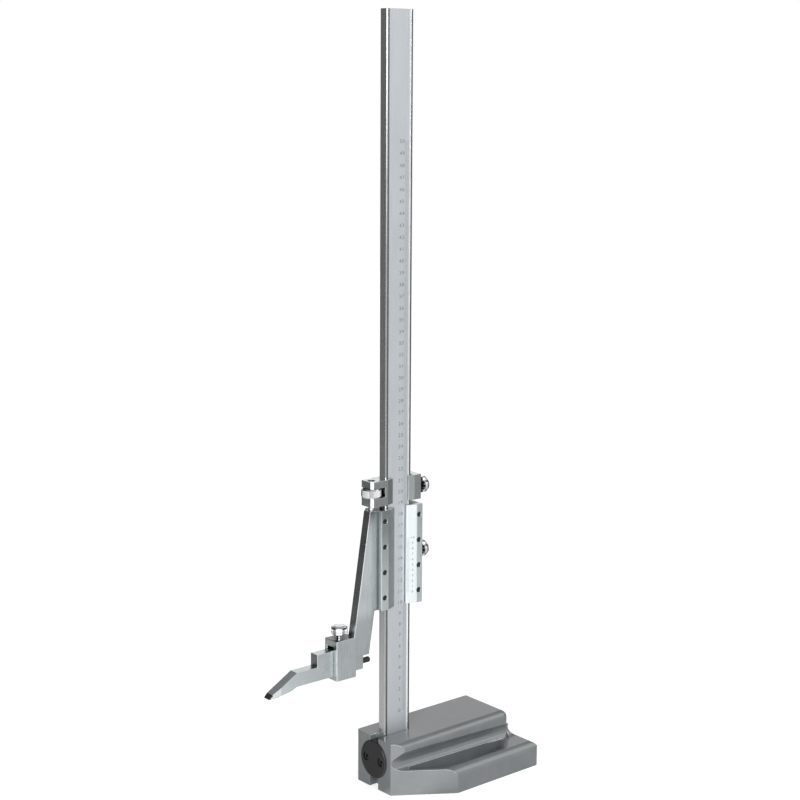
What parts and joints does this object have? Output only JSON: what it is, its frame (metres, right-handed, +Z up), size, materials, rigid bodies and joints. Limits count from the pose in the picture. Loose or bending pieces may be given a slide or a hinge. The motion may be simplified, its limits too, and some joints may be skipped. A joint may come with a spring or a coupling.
{
  "type": "vernier height gauge",
  "caption": "Vernier height gauge: an upright graduated beam in a cast grip base, a slider with a raked arm and clamped scriber, and a fine-adjustment carriage with a knurled nut.",
  "frame": {"origin": "under the middle of the gauge's bounding box, on the underside of the base", "axes": "+Z up along the beam, -Y towards the graduated face, -X towards the scriber"},
  "size_m": [0.2606, 0.081, 0.675],
  "materials": {
    "casting": "satin grey",
    "blackened": "satin black",
    "satin_chrome": "satin",
    "ground_steel": "satin",
    "brass": "satin",
    "bright_chrome": "polished",
    "carbide": "dark grey"
  },
  "bodies": {
    "stand": {"base": "casting", "base_plug": "blackened", "plug_screws": "blackened", "beam": "satin_chrome"},
    "carriage": {"carriage_body": "ground_steel", "carriage_gib": "brass", "carriage_clamp_pad": "brass"},
    "carriage_clamp": {"carriage_clamp_screw": "bright_chrome"},
    "adjusting_nut": {"knurled_nut": "bright_chrome"},
    "slider": {"slider_body": "ground_steel", "left_strip": "ground_steel", "left_strip_screws": "blackened", "right_strip": "ground_steel", "right_strip_screws": "blackened", "vernier_plate": "satin_chrome", "slider_gib": "brass", "gib_screws": "blackened", "slider_clamp_pad": "brass", "fine_spindle": "bright_chrome"},
    "slider_clamp": {"slider_clamp_screw": "bright_chrome"},
    "scriber": {"scriber": "ground_steel", "scriber_tip": "carbide", "rear_pin": "blackened"},
    "scriber_clamp": {"scriber_clamp_screw": "bright_chrome"}
  },
  "joints": [
    {"name": "coarse_slide", "type": "slide", "parent": "stand", "child": "carriage", "axis": [0, 0, 1], "range_m": [-0.105, 0.391]},
    {"name": "fine_slide", "type": "slide", "parent": "carriage", "child": "slider", "axis": [0, 0, 1], "range_m": [-0.003, 0.003]},
    {"name": "nut_spin", "type": "hinge", "parent": "carriage", "child": "adjusting_nut", "pos_m": [-0.02225, 0.01585, 0.2703], "axis": [0, 0, 1], "range_deg": [-1080, 1080]},
    {"name": "carriage_clamp_turn", "type": "hinge", "parent": "carriage", "child": "carriage_clamp", "pos_m": [0.03525, 0.01585, 0.269], "axis": [1, 0, 0], "range_deg": [0, 180]},
    {"name": "slider_clamp_turn", "type": "hinge", "parent": "slider", "child": "slider_clamp", "pos_m": [0.03525, 0.01585, 0.211], "axis": [1, 0, 0], "range_deg": [0, 180]},
    {"name": "scriber_slide", "type": "slide", "parent": "slider", "child": "scriber", "axis": [1, 0, 0], "range_m": [-0.015, 0]},
    {"name": "scriber_clamp_turn", "type": "hinge", "parent": "slider", "child": "scriber_clamp", "pos_m": [-0.05345, 0.0207, 0.145], "axis": [0, 0, 1], "range_deg": [0, 180]}
  ],
  "couplings": [
    {"joint": "nut_spin", "follows": "fine_slide", "rad_per_m": 6283.2}
  ]
}
